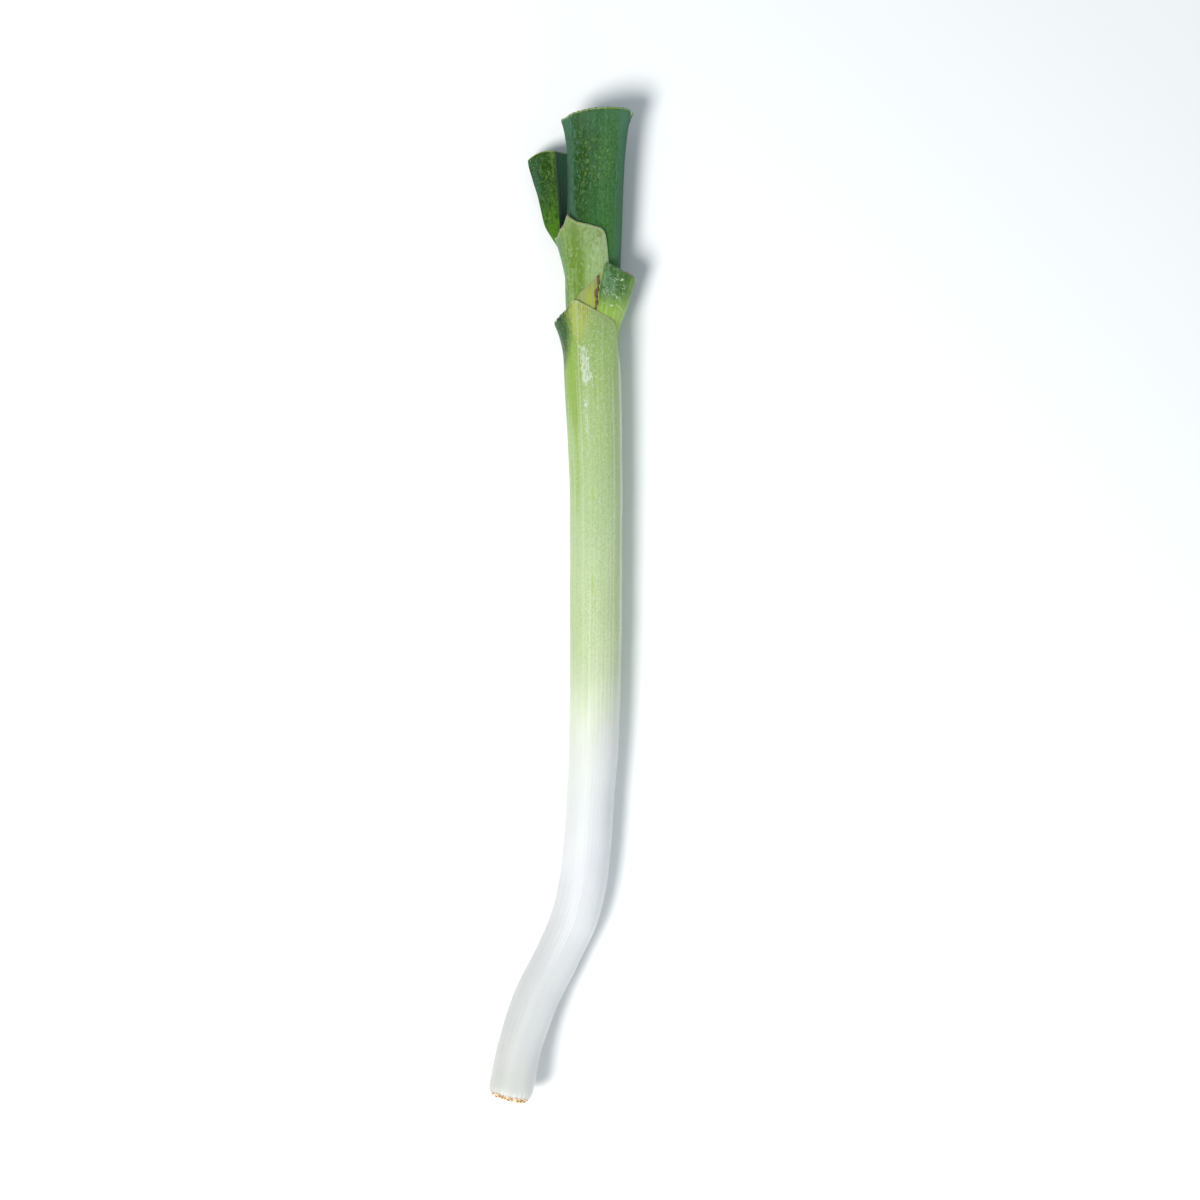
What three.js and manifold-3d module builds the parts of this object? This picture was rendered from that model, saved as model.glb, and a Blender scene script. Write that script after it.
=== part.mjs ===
// A long-stalked scallion, trimmed at both ends and lying on its side.
//
// The stalk is made of leaves that sit one inside the other. Each leaf is a thin tubular sheath that rises
// from the root plate and, above its mouth, a green blade that leaves on one side. The blades leave left and
// right in turn. Everything is described from the innermost leaf outwards: each older leaf wraps the younger
// one with a small gap.
//
// Millimetres, +Z up. The root end points to -Y and the cut leaves to +Y. Lengths are measured up the stalk
// and sideways from the middle of the root plate. At the end the origin is moved to the table, below the
// middle of the whole plant.

import * as THREE from "three";
import { mergeVertices } from "three/addons/utils/BufferGeometryUtils.js";
import Module from "manifold-3d";

const wasm = await Module();
wasm.setup();

// ---------------------------------------------------------------- driving dimensions

const SIDES = 20; // facets round the stalk, with one of them flat underneath
const FACET = (2 * Math.PI) / SIDES;

const GAP = 0.3; // between one leaf and the next
const OUTER_WALL = 0.9;
const SECOND_WALL = 0.8;
const THIRD_WALL = 0.9;
const BLADE_WALL = 1.1; // of the hollow blade at the heart

// How far each leaf's outside stands off the outside of the innermost leaf.
const THIRD_OUT = GAP + THIRD_WALL;
const SECOND_OUT = THIRD_OUT + GAP + SECOND_WALL;
const OUTER_OUT = SECOND_OUT + GAP + OUTER_WALL;

const PLATE_LENGTH = 3; // half of it stands out of the outermost sheath's rim, which is at 0
const OUTER_MOUTH = 302; // above this the outermost sheath ends at its slanting mouth
const SECOND_MOUTH = 317;
const THIRD_MOUTH = 319;

// The innermost leaf along the stalk: [y, x of its middle, half width, half height, lift]. Lift is how far
// the outermost sheath's underside is off the table: the root end curls up, and the blades rise a little.
const HEART = [
  [-24, -6.0, 6.0, 5.8, 10.6],
  [0, 0.0, 5.9, 5.7, 6.0],
  [19, 3.9, 5.8, 5.6, 3.4],
  [38, 10.3, 6.1, 5.8, 1.4],
  [58, 20.2, 6.1, 5.8, 0],
  [75, 27.5, 6.5, 6.1, 0],
  [95, 31.4, 6.6, 6.3, 0],
  [120, 33.4, 6.6, 6.3, 0],
  [155, 35.3, 7.1, 6.7, 0],
  [205, 35.9, 7.5, 7.0, 0],
  [250, 36.0, 7.6, 7.1, 0],
  [289, 35.0, 8.3, 7.3, 0],
  [305, 34.5, 8.6, 7.4, 0],
  [317, 34.6, 9.1, 7.5, 0],
  [329, 34.8, 10.4, 7.4, 0.2],
  [346, 35.2, 11.1, 7.2, 1.0],
  [368, 35.8, 11.5, 6.6, 3.0],
  [389, 36.2, 12.0, 6.2, 4.8],
  [402, 36.0, 13.4, 6.4, 5.8],
  [413, 35.8, 15.7, 7.0, 6.6],
];

// Where each leaf's upper edge lies: [degrees round from the side its blade leaves on, y].
const OUTER_EDGE = [
  [0, 322.5],
  [35, 328.6],
  [52, 331.4],
  [85, 328.4],
  [113, 325.1],
  [134, 322.6],
  [150, 314.5],
  [165, 309],
  [180, 307],
];
const SECOND_EDGE = [
  [0, 341.6],
  [50, 344.6],
  [72, 346.9],
  [84, 340.8],
  [112, 336.6],
  [148, 330.8],
  [180, 327],
];
const THIRD_EDGE = [
  [0, 358],
  [20, 361],
  [34, 366.5],
  [66, 364],
  [104, 361.4],
  [115, 358.6],
  [122, 350],
  [133, 336],
  [180, 325],
];

// The blade of the third leaf, a collapsed tube with a ridge along its top:
// [y, left edge x, left edge z, ridge x, ridge z, right edge x, right edge z, underside z].
const SIDE_BLADE = [
  [350, 21.4, 10.4, 22.5, 12.6, 23.4, 10.6, 8.2],
  [354, 20.2, 10.4, 22.0, 13.4, 23.4, 9.8, 7.0],
  [359, 17.2, 10.0, 21.3, 14.0, 23.4, 8.4, 5.6],
  [364, 14.3, 9.4, 20.9, 14.2, 23.6, 7.6, 4.8],
  [369, 13.0, 9.0, 20.6, 14.0, 23.9, 7.2, 4.4],
  [377, 11.2, 8.3, 20.1, 13.6, 24.1, 6.6, 4.0],
  [386, 8.7, 7.6, 19.4, 13.0, 24.2, 6.0, 3.6],
  [395, 7.0, 7.2, 18.8, 12.6, 24.2, 5.6, 3.4],
];

// ---------------------------------------------------------------- curves through rows of numbers

// A smooth curve through rows of [position, value, value, ...] that never swings past its rows.
function through(rows) {
  const slopes = rows.map((row, i) =>
    row.map((_, column) => {
      if (column === 0 || i === 0 || i === rows.length - 1) return 0;
      const before = (row[column] - rows[i - 1][column]) / (row[0] - rows[i - 1][0]);
      const after = (rows[i + 1][column] - row[column]) / (rows[i + 1][0] - row[0]);
      return before * after > 0 ? (2 * before * after) / (before + after) : 0;
    }),
  );
  return (position) => {
    const at = THREE.MathUtils.clamp(position, rows[0][0], rows[rows.length - 1][0]);
    const i = Math.max(0, rows.findIndex((row) => row[0] >= at) - 1);
    const span = rows[i + 1][0] - rows[i][0];
    const t = (at - rows[i][0]) / span;
    return rows[i].slice(1).map((value, c) => {
      const next = rows[i + 1][c + 1];
      const bend = t * t * (3 - 2 * t);
      const leaving = t * (1 - t) * (1 - t) * span * slopes[i][c + 1];
      const arriving = t * t * (t - 1) * span * slopes[i + 1][c + 1];
      return value + (next - value) * bend + leaving + arriving;
    });
  };
}

const heartAt = through(HEART);

// The upper edge's y at an angle, for a leaf whose blade leaves on the given side.
function edgeOf(rows, bladeAngle) {
  const edge = through(rows);
  return (angle) => {
    const turned = THREE.MathUtils.euclideanModulo(angle - bladeAngle + Math.PI, 2 * Math.PI) - Math.PI;
    return edge(THREE.MathUtils.radToDeg(Math.abs(turned)))[0];
  };
}

// ---------------------------------------------------------------- surfaces

// A point on the stalk: angle 0 is the right-hand side and a quarter turn is the top. Out is the distance
// from the innermost leaf's outside, and flare pushes the point sideways where a blade bends away.
function onStalk(angle, y, out, flare = 0) {
  const [x, halfWidth, halfHeight, lift] = heartAt(y);
  const slope = (heartAt(y + 1)[0] - heartAt(y - 1)[0]) / 2;
  const side = new THREE.Vector3(1, -slope, 0).normalize();
  const middle = (halfHeight + OUTER_OUT) * Math.cos(FACET / 2) + lift;
  const across = (halfWidth + out) * Math.cos(angle) + flare;
  const height = middle + (halfHeight + out) * Math.sin(angle);
  return new THREE.Vector3(x, y, 0).addScaledVector(side, across).setZ(Math.max(0, height));
}

// How far a blade has bent away from the stalk, for a leaf whose blade leaves at bladeAngle. A sharper blade
// base takes a narrower part of the sheath with it. Past endY a blade bends on, up to a limit.
const FLARE_LIMIT = 1.3;

function flareOf({ startY, endY, reach, bladeAngle, bend, sharpness }) {
  return (angle, y) => {
    const grown = THREE.MathUtils.clamp((y - startY) / (endY - startY), 0, FLARE_LIMIT) ** bend;
    const facing = Math.max(0, Math.cos(angle - bladeAngle)) ** sharpness;
    return reach * grown * facing * Math.cos(bladeAngle);
  };
}

const outerFlare = flareOf({
  startY: 307, endY: 322, reach: 2.9, bladeAngle: Math.PI, bend: 1.8, sharpness: 4,
});
const secondFlare = flareOf({
  startY: 319, endY: 341, reach: 4.1, bladeAngle: 0, bend: 1.5, sharpness: 1.5,
});
const thirdFlare = flareOf({
  startY: 341, endY: 356, reach: 3.8, bladeAngle: Math.PI, bend: 1.3, sharpness: 5,
});

// A closed body turned from a lathe: place(angle, stop) says where each of its vertices goes.
const SAME_POINT = 1e-4; // vertices closer than this are one

function turned(stops, place) {
  const profile = stops.map((_, i) => new THREE.Vector2(1, i));
  const geometry = new THREE.LatheGeometry(profile, SIDES);
  const position = geometry.getAttribute("position");
  for (let side = 0; side <= SIDES; side++) {
    const angle = -Math.PI / 2 - ((side % SIDES) + 0.5) * FACET;
    stops.forEach((stop, i) => {
      position.setXYZ(side * stops.length + i, ...place(angle, stop).toArray());
    });
  }
  geometry.deleteAttribute("normal");
  geometry.deleteAttribute("uv");
  return mergeVertices(geometry, SAME_POINT);
}

// Rings along the stalk: close together where it bends and where the mouths are, and far apart where it is
// straight.
const FIRST_RING_Y = 5;
const BEND_STEP = 8;
const BEND_END_Y = 90;
const STRAIGHT_STEP = 20;
const MOUTH_STEP = 5;

function ringsBetween(from, to) {
  const rings = [];
  for (let y = FIRST_RING_Y; y < to; ) {
    if (y > from) rings.push(y);
    if (y < BEND_END_Y) y += BEND_STEP;
    else if (y < OUTER_MOUTH - STRAIGHT_STEP) y += STRAIGHT_STEP;
    else y += MOUTH_STEP;
  }
  return rings;
}

const SHARES = [0.25, 0.5, 0.75, 1];

// The stops of a leaf's wall: up its outside, over its upper edge and down its inside. A stop is
// { y, share, out }: where share is given, the point is that share of the way from y to the upper edge.
function wallStops({ from, openFrom, out, inside, rim = [] }) {
  const rings = ringsBetween(from + 1, openFrom - 1);
  const up = [...rim, ...rings.map((y) => ({ y, out })), { y: openFrom, out }];
  const over = SHARES.map((share) => ({ y: openFrom, share, out }));
  const down = [
    { y: from, out: inside },
    ...rings.map((y) => ({ y, out: inside })),
    { y: openFrom, out: inside },
  ];
  const under = SHARES.map((share) => ({ y: openFrom, share, out: inside }));
  return [...up, ...over, ...under.reverse(), ...down.reverse()];
}

function leafPlace(edge, flare) {
  return (angle, stop) => {
    const y = stop.share ? THREE.MathUtils.lerp(stop.y, edge(angle), stop.share) : stop.y;
    return stop.axis ? axisPoint(stop.y) : onStalk(angle, y, stop.out, flare(angle, y));
  };
}

function axisPoint(y) {
  const below = onStalk(-Math.PI / 2, y, 0);
  const above = onStalk(Math.PI / 2, y, 0);
  return below.add(above).multiplyScalar(0.5);
}

const noFlare = () => 0;
const INNER_LEAVES_Y = PLATE_LENGTH / 2 + GAP; // where the leaves inside the outermost sheath start

// ---------------------------------------------------------------- the sheaths and blades

// The outermost sheath's rim is rounded: [y, how far in from its outside].
const RIM_ROUNDING = [
  [0, OUTER_WALL],
  [0, 0.6],
  [1, 0.15],
  [3, 0],
];

function outerSheath() {
  const rim = RIM_ROUNDING.map(([y, inwards]) => ({ y, out: OUTER_OUT - inwards }));
  const inside = OUTER_OUT - OUTER_WALL;
  const stops = wallStops({ from: 0, openFrom: OUTER_MOUTH, out: OUTER_OUT, inside, rim });
  return turned(stops, leafPlace(edgeOf(OUTER_EDGE, Math.PI), outerFlare));
}

function innerSheath(openFrom, out, wall, edge, flare) {
  const inside = out - wall;
  const rim = [{ y: INNER_LEAVES_Y, out: inside }, { y: INNER_LEAVES_Y, out }];
  return turned(wallStops({ from: INNER_LEAVES_Y, openFrom, out, inside, rim }), leafPlace(edge, flare));
}

function secondLeaf() {
  return innerSheath(SECOND_MOUTH, SECOND_OUT, SECOND_WALL, edgeOf(SECOND_EDGE, 0), secondFlare);
}

function thirdSheath() {
  return innerSheath(THIRD_MOUTH, THIRD_OUT, THIRD_WALL, edgeOf(THIRD_EDGE, Math.PI), thirdFlare);
}

// The third leaf's blade: a collapsed tube that leaves the sheath's left side, hollow from its cut end.
const SIDE_BLADE_HOLLOW_Y = 366;
const SIDE_BLADE_HOLLOW = 0.78; // the hollow's share of the blade's own width
const SIDE_BLADE_STEP = 4.3;
const SIDE_BLADE_BULGE = 1; // how far its left face stands out between its edges

function sideBlade() {
  const bladeAt = through(SIDE_BLADE);
  const first = SIDE_BLADE[0][0];
  const last = SIDE_BLADE[SIDE_BLADE.length - 1][0];
  const section = (y) => {
    const [leftX, leftZ, ridgeX, ridgeZ, rightX, rightZ, underZ] = bladeAt(y);
    const corners = [
      new THREE.Vector3(rightX, y, rightZ),
      new THREE.Vector3(ridgeX, y, ridgeZ),
      new THREE.Vector3((leftX + ridgeX) / 2, y, (leftZ + ridgeZ) / 2 + SIDE_BLADE_BULGE),
      new THREE.Vector3(leftX, y, leftZ),
      new THREE.Vector3((leftX + rightX) / 2, y, underZ),
    ];
    return new THREE.CatmullRomCurve3(corners, true, "centripetal");
  };
  const centre = (y) => section(y).getPoints(SIDES).slice(0, SIDES)
    .reduce((sum, point) => sum.addScaledVector(point, 1 / SIDES), new THREE.Vector3());
  const rings = [];
  for (let y = first; y < last; y += SIDE_BLADE_STEP) rings.push(y);
  const stops = [
    { y: first, size: 0 },
    ...rings.map((y) => ({ y, size: 1 })),
    { y: last, size: 1 },
    { y: last, size: SIDE_BLADE_HOLLOW },
    ...rings.filter((y) => y > SIDE_BLADE_HOLLOW_Y).reverse().map((y) => ({ y, size: SIDE_BLADE_HOLLOW })),
    { y: SIDE_BLADE_HOLLOW_Y, size: 0 },
  ];
  return turned(stops, (angle, stop) => {
    const share = THREE.MathUtils.euclideanModulo(angle / (2 * Math.PI), 1);
    return centre(stop.y).lerp(section(stop.y).getPoint(share), stop.size);
  });
}

// The innermost leaf: packed solid inside the sheaths, a hollow flattened tube above them, cut across at its
// end.
const BLADE_HOLLOW_Y = 355;
const BLADE_MOUTH_Y = 402; // above this the blade's wall runs on to its cut, a shallow arc
const BLADE_CUT_Y = 408.8;
const BLADE_CUT_LEAN = 1.6; // how much further up its right side reaches
const BLADE_CUT_ARC = 2.1; // how much further up its top reaches

function innerLeaf() {
  const openFrom = BLADE_MOUTH_Y;
  const rings = ringsBetween(INNER_LEAVES_Y + 1, openFrom - 1);
  const cut = (angle) => BLADE_CUT_Y + BLADE_CUT_LEAN * Math.cos(angle) + BLADE_CUT_ARC * Math.sin(angle);
  const stops = [
    { y: INNER_LEAVES_Y, axis: true },
    { y: INNER_LEAVES_Y, out: 0 },
    ...rings.map((y) => ({ y, out: 0 })),
    { y: openFrom, out: 0 },
    { y: openFrom, share: 0.5, out: 0 },
    { y: openFrom, share: 1, out: 0 },
    { y: openFrom, share: 1, out: -BLADE_WALL },
    { y: openFrom, out: -BLADE_WALL },
    ...rings.filter((y) => y > BLADE_HOLLOW_Y).reverse().map((y) => ({ y, out: -BLADE_WALL })),
    { y: BLADE_HOLLOW_Y, axis: true },
  ];
  return turned(stops, leafPlace(cut, noFlare));
}

// The root plate: the short disc of stem that every sheath rises from, trimmed flat across its underside.
const PLATE_CHAMFER = 0.8;

function rootPlate() {
  const top = PLATE_LENGTH / 2;
  const under = -PLATE_LENGTH / 2;
  const out = OUTER_OUT - OUTER_WALL - GAP;
  const stops = [
    { y: under, axis: true },
    { y: under, out: out - PLATE_CHAMFER },
    { y: under + PLATE_CHAMFER, out },
    { y: top, out },
    { y: top, axis: true },
  ];
  return turned(stops, leafPlace(() => top, noFlare));
}

// ---------------------------------------------------------------- joining

function solid(geometry) {
  return new wasm.Manifold(
    new wasm.Mesh({
      numProp: 3,
      vertProperties: new Float32Array(geometry.getAttribute("position").array),
      triVerts: new Uint32Array(geometry.index.array),
    }),
  );
}

function joined(first, second) {
  const mesh = solid(first).add(solid(second)).getMesh();
  return new THREE.BufferGeometry()
    .setAttribute("position", new THREE.BufferAttribute(mesh.vertProperties, 3))
    .setIndex(new THREE.BufferAttribute(mesh.triVerts, 1));
}

// ---------------------------------------------------------------- the plant

const skins = {
  outer: new THREE.MeshStandardMaterial({ color: 0xb9d29a, roughness: 0.5, metalness: 0 }),
  second: new THREE.MeshStandardMaterial({ color: 0x8fb45a, roughness: 0.5, metalness: 0 }),
  third: new THREE.MeshStandardMaterial({ color: 0x8ab06a, roughness: 0.5, metalness: 0 }),
  blade: new THREE.MeshStandardMaterial({ color: 0x3f6b40, roughness: 0.45, metalness: 0 }),
  plate: new THREE.MeshStandardMaterial({ color: 0xd9c9a0, roughness: 0.8, metalness: 0 }),
};

const pieces = {
  root_plate: [rootPlate(), skins.plate],
  outer_sheath: [outerSheath(), skins.outer],
  second_leaf: [secondLeaf(), skins.second],
  third_leaf: [joined(thirdSheath(), sideBlade()), skins.third],
  inner_leaf: [innerLeaf(), skins.blade],
};

const scallion = new THREE.Group();
for (const [name, [geometry, skin]] of Object.entries(pieces)) {
  const mesh = new THREE.Mesh(geometry, skin);
  mesh.name = name;
  scallion.add(mesh);
}

// The origin goes below the middle of the whole plant.
const middle = new THREE.Box3().setFromObject(scallion).getCenter(new THREE.Vector3());
for (const mesh of scallion.children) mesh.position.set(-middle.x, -middle.y, 0);

export default scallion;
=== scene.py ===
import math

import bmesh
import bpy
import numpy as np
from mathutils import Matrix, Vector


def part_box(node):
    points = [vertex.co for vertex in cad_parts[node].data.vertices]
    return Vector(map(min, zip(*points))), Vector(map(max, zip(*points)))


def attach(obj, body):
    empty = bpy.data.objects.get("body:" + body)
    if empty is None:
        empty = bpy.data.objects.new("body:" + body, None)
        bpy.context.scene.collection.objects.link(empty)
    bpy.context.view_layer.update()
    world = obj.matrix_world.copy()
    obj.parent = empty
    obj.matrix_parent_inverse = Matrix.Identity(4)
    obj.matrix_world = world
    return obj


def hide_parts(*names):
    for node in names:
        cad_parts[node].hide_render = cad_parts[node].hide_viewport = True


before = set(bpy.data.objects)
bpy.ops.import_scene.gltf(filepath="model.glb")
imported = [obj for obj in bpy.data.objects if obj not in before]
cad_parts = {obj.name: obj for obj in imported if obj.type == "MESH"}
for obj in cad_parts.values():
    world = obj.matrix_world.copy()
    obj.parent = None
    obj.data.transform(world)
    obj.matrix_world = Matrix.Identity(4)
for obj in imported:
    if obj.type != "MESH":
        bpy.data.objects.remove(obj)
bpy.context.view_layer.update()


# ---- The root plate ------------------------------------------------------------------------------
# The short disc of stem that every leaf grows from, trimmed flat with a knife just outside the
# sheaths' rim. The cut has dried: tan fibrous flesh, a browned rim, and rings where the leaves start.

MM = 0.001

# The leaves are wrapped round one another, so they and the plate follow the innermost leaf's line. It
# lies on its side, and curls up and sideways towards the root. In millimetres from the middle of the
# plate: [distance up, x of its middle, half width, half height, lift of the stalk off the table].
HEART = [
    [-24, -6.0, 6.0, 5.8, 10.6],
    [0, 0.0, 5.9, 5.7, 6.0],
    [19, 3.9, 5.8, 5.6, 3.4],
    [38, 10.3, 6.1, 5.8, 1.4],
    [58, 20.2, 6.1, 5.8, 0],
    [75, 27.5, 6.5, 6.1, 0],
    [95, 31.4, 6.6, 6.3, 0],
    [120, 33.4, 6.6, 6.3, 0],
    [155, 35.3, 7.1, 6.7, 0],
    [205, 35.9, 7.5, 7.0, 0],
    [250, 36.0, 7.6, 7.1, 0],
    [289, 35.0, 8.3, 7.3, 0],
    [305, 34.5, 8.6, 7.4, 0],
    [317, 34.6, 9.1, 7.5, 0],
    [329, 34.8, 10.4, 7.4, 0.2],
    [346, 35.2, 11.1, 7.2, 1.0],
    [368, 35.8, 11.5, 6.6, 3.0],
    [389, 36.2, 12.0, 6.2, 4.8],
    [402, 36.0, 13.4, 6.4, 5.8],
    [413, 35.8, 15.7, 7.0, 6.6],
]

OUTER_OUT = 3.5  # how far the outermost leaf's outside stands off the innermost leaf's
PLATE_MIDDLE = [(low + high) / 2 / MM for low, high in zip(*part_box("root_plate"))]
SAG = 0.988  # a soft round stalk settles a little flat on the table
TABLE_GAP = 0.03  # the skin stays this far above the table


def through(rows):
    """A smooth curve through rows of [place, value, value, ...] that never swings past its rows."""
    rows = np.array(rows, float)
    places, values = rows[:, 0], rows[:, 1:]
    rises = np.diff(values, axis=0) / np.diff(places)[:, None]
    before, after = rises[:-1], rises[1:]
    same_way = before * after > 0
    slopes = np.zeros_like(values)
    slopes[1:-1][same_way] = 2 * (before * after)[same_way] / (before + after)[same_way]

    def curve(place):
        place = np.clip(place, places[0], places[-1])
        row = np.clip(np.searchsorted(places, place) - 1, 0, len(places) - 2)
        span = (places[row + 1] - places[row])[..., None]
        t = (place - places[row])[..., None] / span
        leaving = t * (1 - t) ** 2 * span * slopes[row]
        arriving = t ** 2 * (t - 1) * span * slopes[row + 1]
        between = (values[row + 1] - values[row]) * t ** 2 * (3 - 2 * t)
        return np.moveaxis(values[row] + between + leaving + arriving, -1, 0)

    return curve


heart_at = through(HEART)


def on_stalk(angle, up, out, flare=0.0, pinch=1.0):
    """Points on the stalk, in millimetres. Angle 0 is its right side, a quarter turn is its top."""
    angle, up, out = np.broadcast_arrays(angle, np.asarray(up, float), out)
    x, half_width, half_height, lift = heart_at(up)
    slope = (heart_at(up + 1)[0] - heart_at(up - 1)[0]) / 2
    steep = np.hypot(1, slope)
    across = (half_width + out) * np.cos(angle) + flare
    rise = np.sign(np.sin(angle)) * np.abs(np.sin(angle)) ** pinch
    height = (half_height + OUTER_OUT) * SAG + lift + (half_height + out) * rise
    points = [x + across / steep, up - across * slope / steep, np.maximum(TABLE_GAP, height)]
    return np.stack(points, -1) + [PLATE_MIDDLE[0], PLATE_MIDDLE[1], 0]


def turn(count, finer_from=0, finer_to=0, finer=1):
    """Angles once round the stalk, in radians. They are evenly spaced, but closer along one stretch
    that is given in degrees."""
    even = np.arange(count) * 360 / count
    if not finer_to:
        return np.radians(even)
    kept = even[(even < finer_from) | (even > finer_to)]
    close = np.linspace(finer_from, finer_to, int((finer_to - finer_from) / 360 * count * finer))
    return np.radians(np.sort(np.append(kept, close)))


PLATE_UNDER = -1.5
PLATE_TOP = 1.5
PLATE_OUT = 2.3
PLATE_ROUNDING = 0.9
PLATE_CENTRE = -6.0  # how far off the innermost leaf's outside its middle is
PLATE_HEIGHT = 10  # about how high its middle stands above the table


def skin(name, points, straight, place, ringed=False):
    """A closed mesh through rows of points, each row once round. The rows make a ring, or the first and
    the last are drawn together to a point. Straight holds each point on the stalk pulled straight, and
    place holds [mm below the leaf's cut edge, depth through its wall, share of a special area]."""
    rows, around = points.shape[:2]
    index = np.arange(rows * around).reshape(rows, around)
    if ringed:
        index = np.vstack([index, index[:1]])
    else:
        points[[0, -1]] = points[[0, -1]].mean(1, keepdims=True)
    beside = np.roll(index, -1, axis=1)
    quads = np.stack([index[:-1], index[1:], beside[1:], beside[:-1]], -1).reshape(-1, 4)
    mesh = bpy.data.meshes.new(name)
    mesh.from_pydata((points.reshape(-1, 3) * MM).tolist(), [], quads.tolist())
    for label, values in (("straight", straight), ("place", place)):
        attribute = mesh.attributes.new(label, "FLOAT_VECTOR", "POINT")
        values = np.broadcast_to(values, points.shape).astype(np.float32)
        attribute.data.foreach_set("vector", values.ravel())
    welded = bmesh.new()
    welded.from_mesh(mesh)
    bmesh.ops.remove_doubles(welded, verts=welded.verts, dist=1e-6)
    bmesh.ops.recalc_face_normals(welded, faces=welded.faces)
    welded.to_mesh(mesh)
    welded.free()
    mesh.shade_smooth()
    piece = bpy.data.objects.new(name, mesh)
    bpy.context.scene.collection.objects.link(piece)
    return piece


class Wire:
    """One socket of a material's nodes. Arithmetic on wires adds Math nodes, and node() adds any other
    node."""

    def __init__(self, socket):
        self.socket = socket

    def node(self, kind, settings, sockets, output=0):
        made = self.socket.id_data.nodes.new("ShaderNode" + kind)
        for name, value in settings.items():
            if name == "stops":
                ends = made.color_ramp.elements
                for place, _ in value[2:]:
                    ends.new(place)
                for stop, (place, colour) in zip(ends, value):
                    stop.position = place
                    stop.color = colour
            else:
                setattr(made, name, value)
        for name, value in sockets.items():
            if isinstance(value, Wire):
                self.socket.id_data.links.new(value.socket, made.inputs[name])
            else:
                made.inputs[name].default_value = value
        return Wire(made.outputs[output])

    def math(self, operation, first, second=0.0):
        return self.node("Math", {"operation": operation}, {0: first, 1: second})

    def __add__(self, other):
        return self.math("ADD", self, other)

    def __sub__(self, other):
        return self.math("SUBTRACT", self, other)

    def __rsub__(self, other):
        return self.math("SUBTRACT", other, self)

    def __mul__(self, other):
        return self.math("MULTIPLY", self, other)

    def __truediv__(self, other):
        return self.math("DIVIDE", self, other)

    __radd__ = __add__
    __rmul__ = __mul__

    def between(self, low, high):
        """0 below low and 1 above high, smoothly. With low above high it falls instead."""
        return self.node("MapRange", {"interpolation_type": "SMOOTHSTEP"}, {0: self, 1: low, 2: high})

    def blend(self, first, second):
        """The first colour where this is 0, the second where it is 1."""
        return self.node("Mix", {"data_type": "RGBA"}, {0: self, 6: first, 7: second}, output=2)

    def towards(self, colour, share):
        """This colour, mixed towards another."""
        return share.blend(self, colour)

    def stretched(self, across, along):
        """This vector with its pattern's scale set across the stalk and along it."""
        return self.node("VectorMath", {"operation": "MULTIPLY"}, {0: self, 1: (across, across, along)})

    def noise(self, across, along, detail=3.0, warp=0.0):
        """Cloudy noise from 0 to 1, with that many features a millimetre across the stalk and along it."""
        return self.node("TexNoise", {}, {
            "Vector": self.stretched(across, along), "Scale": 1.0, "Detail": detail, "Distortion": warp})


def colour(red, green, blue):
    """A colour given as it would look on a screen, 0 to 255, as a shader takes it."""
    shares = [part / 255 for part in (red, green, blue)]
    linear = [s / 12.92 if s <= 0.04045 else ((s + 0.055) / 1.055) ** 2.4 for s in shares]
    return (*linear, 1.0)


STRAIGHT_RADIUS = 11.0  # of the stalk pulled straight

# The flesh passes the light on from its lit left side round to its right, further than a shader's own
# scattering takes it. To make up for it, light and shade are painted into each skin: it has this share of
# its colour at the stalk's middle, and this much more of it as painted light on its right side and less as
# painted shade on its left.
PAINT_MIDDLE = 0.93
PAINTED_LIGHT_SIDEWAYS = 0.22


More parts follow.
